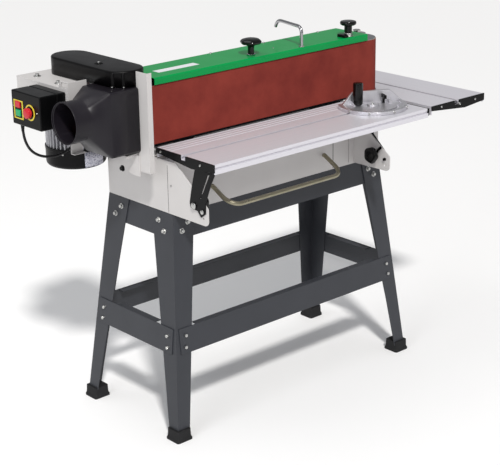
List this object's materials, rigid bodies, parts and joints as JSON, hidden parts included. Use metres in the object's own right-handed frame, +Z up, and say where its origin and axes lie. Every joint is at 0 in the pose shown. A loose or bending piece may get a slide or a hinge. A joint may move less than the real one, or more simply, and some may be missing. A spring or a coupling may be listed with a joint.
{
  "type": "edge belt sander",
  "caption": "Floor-standing edge belt sander: an upright abrasive belt on rollers over a tilting slotted table, on a sheet-steel stand.",
  "frame": {"origin": "on the floor, at the centre of the machine's bounding box", "axes": "+X along the belt from the motor end to the end table, -Y towards the operator, +Z up"},
  "size_m": [1.2944, 0.586, 1.005],
  "materials": {
    "stand_paint": "satin dark grey powder coat",
    "rubber": "matt black moulded rubber",
    "cream_paint": "satin warm grey-white paint",
    "green_paint": "gloss green paint",
    "black_paint": "satin black paint",
    "black_plastic": "black moulded plastic",
    "aluminium": "fine-drawn, clear anodised",
    "cast_aluminium": "as cast, lightly machined",
    "roller_metal": "turned",
    "plated_steel": "zinc plated, dulled",
    "abrasive_cloth": "red-brown aluminium-oxide grit on cloth",
    "belt_rubber": "black rubber",
    "red_plastic": "gloss red plastic",
    "green_plastic": "gloss green plastic"
  },
  "bodies": {
    "stand": {"leg_front_left": "stand_paint", "leg_front_right": "stand_paint", "leg_back_left": "stand_paint", "leg_back_right": "stand_paint", "foot_front_left": "rubber", "foot_front_right": "rubber", "foot_back_left": "rubber", "foot_back_right": "rubber", "top_rail_front": "stand_paint", "top_rail_back": "stand_paint", "top_rail_left": "stand_paint", "top_rail_right": "stand_paint", "stretcher_front": "stand_paint", "stretcher_back": "stand_paint", "stretcher_left": "stand_paint", "stretcher_right": "stand_paint", "cabinet": "cream_paint", "right_wing": "cream_paint", "unit_frame": "stand_paint", "idler_bracket": "plated_steel", "left_end_bracket": "cream_paint", "work_stop": "cream_paint", "dust_hood": "black_plastic", "belt_casing": "black_plastic", "motor_plate": "cream_paint", "motor_housing": "aluminium", "fan_cowl": "black_paint", "switch_box": "black_plastic", "top_guard": "green_paint", "back_guard": "cream_paint", "sanding_belt": "abrasive_cloth", "v_belt": "belt_rubber", "end_table_guide": "stand_paint", "motor_lead": "belt_rubber"},
    "drive_drum": {"drive_roller": "roller_metal", "driven_pulley": "cast_aluminium"},
    "idler_drum": {"idler_roller": "roller_metal"},
    "motor_rotor": {"motor_pulley": "plated_steel"},
    "main_table": {"main_table": "aluminium", "table_cap_left": "black_plastic", "table_cap_right": "black_plastic", "table_arm_left": "black_paint", "table_arm_right": "black_paint"},
    "table_knob_left": {"table_knob_left": "black_plastic"},
    "table_knob_right": {"table_knob_right": "black_plastic"},
    "end_table": {"end_table": "aluminium", "end_table_cap_front": "black_plastic", "end_table_cap_back": "black_plastic", "end_table_post": "plated_steel"},
    "end_table_knob": {"end_table_knob": "black_plastic"},
    "mitre_bar": {"mitre_bar": "plated_steel"},
    "mitre_head": {"mitre_head": "cast_aluminium"},
    "mitre_handle": {"mitre_handle": "black_plastic"},
    "front_bar_handle": {"front_bar_handle": "plated_steel"},
    "tension_lever": {"tension_lever": "plated_steel"},
    "tracking_knob": {"tracking_knob": "black_plastic"},
    "cover_knob": {"cover_knob": "black_plastic"},
    "start_button": {"start_button": "green_plastic"},
    "stop_button": {"stop_button": "red_plastic"},
    "emergency_stop": {"emergency_stop": "red_plastic"}
  },
  "joints": [
    {"name": "drive_spin", "type": "hinge", "parent": "stand", "child": "drive_drum", "pos_m": [-0.42775, -0.008, 0.85], "axis": [0, 0, 1], "continuous": true},
    {"name": "idler_spin", "type": "hinge", "parent": "stand", "child": "idler_drum", "pos_m": [0.40725, -0.008, 0.85], "axis": [0, 0, 1], "continuous": true},
    {"name": "motor_spin", "type": "hinge", "parent": "stand", "child": "motor_rotor", "pos_m": [-0.42875, 0.212, 0.95], "axis": [0, 0, 1], "continuous": true},
    {"name": "table_tilt", "type": "hinge", "parent": "stand", "child": "main_table", "pos_m": [0.00825, -0.24, 0.638], "axis": [1, 0, 0], "range_deg": [0, 45]},
    {"name": "table_knob_left_turn", "type": "hinge", "parent": "main_table", "child": "table_knob_left", "pos_m": [-0.36175, -0.207, 0.647], "axis": [1, 0, 0], "range_deg": [0, 360]},
    {"name": "table_knob_right_turn", "type": "hinge", "parent": "main_table", "child": "table_knob_right", "pos_m": [0.27625, -0.207, 0.647], "axis": [-1, 0, 0], "range_deg": [0, 360]},
    {"name": "end_table_height", "type": "slide", "parent": "stand", "child": "end_table", "axis": [0, 0, 1], "range_m": [-0.06, 0]},
    {"name": "end_table_knob_turn", "type": "hinge", "parent": "stand", "child": "end_table_knob", "pos_m": [0.40605, 0.048, 0.64], "axis": [0, -1, 0], "range_deg": [0, 360]},
    {"name": "mitre_slide", "type": "slide", "parent": "main_table", "child": "mitre_bar", "axis": [1, 0, 0], "range_m": [-0.56, 0]},
    {"name": "mitre_turn", "type": "hinge", "parent": "mitre_bar", "child": "mitre_head", "pos_m": [0.30125, -0.174, 0.772], "axis": [0, 0, 1], "range_deg": [-125, 0]},
    {"name": "mitre_handle_turn", "type": "hinge", "parent": "mitre_head", "child": "mitre_handle", "pos_m": [0.2656, -0.15143, 0.8], "axis": [0, 0, 1], "range_deg": [0, 360]},
    {"name": "front_bar_swing", "type": "hinge", "parent": "stand", "child": "front_bar_handle", "pos_m": [0.00825, -0.1233, 0.651], "axis": [1, 0, 0], "range_deg": [-60, 45]},
    {"name": "tension_lever_turn", "type": "hinge", "parent": "stand", "child": "tension_lever", "pos_m": [0.14225, -0.056, 0.96], "axis": [0, 0, 1], "range_deg": [-90, 0]},
    {"name": "tracking_knob_turn", "type": "hinge", "parent": "stand", "child": "tracking_knob", "pos_m": [0.33425, -0.045, 0.97], "axis": [0, 0, 1], "continuous": true},
    {"name": "cover_knob_turn", "type": "hinge", "parent": "stand", "child": "cover_knob", "pos_m": [-0.02475, -0.037, 0.97], "axis": [0, 0, 1], "range_deg": [0, 360]},
    {"name": "start_button_press", "type": "slide", "parent": "stand", "child": "start_button", "axis": [1, 0, 0], "range_m": [0, 0.003], "stiffness_N_per_m": 1000},
    {"name": "stop_button_press", "type": "slide", "parent": "stand", "child": "stop_button", "axis": [1, 0, 0], "range_m": [0, 0.003], "stiffness_N_per_m": 1000},
    {"name": "emergency_stop_press", "type": "slide", "parent": "stand", "child": "emergency_stop", "axis": [1, 0, 0], "range_m": [0, 0.005]}
  ],
  "couplings": [
    {"joint": "idler_spin", "follows": "drive_spin", "ratio": 1},
    {"joint": "motor_spin", "follows": "drive_spin", "ratio": 1.3683}
  ]
}
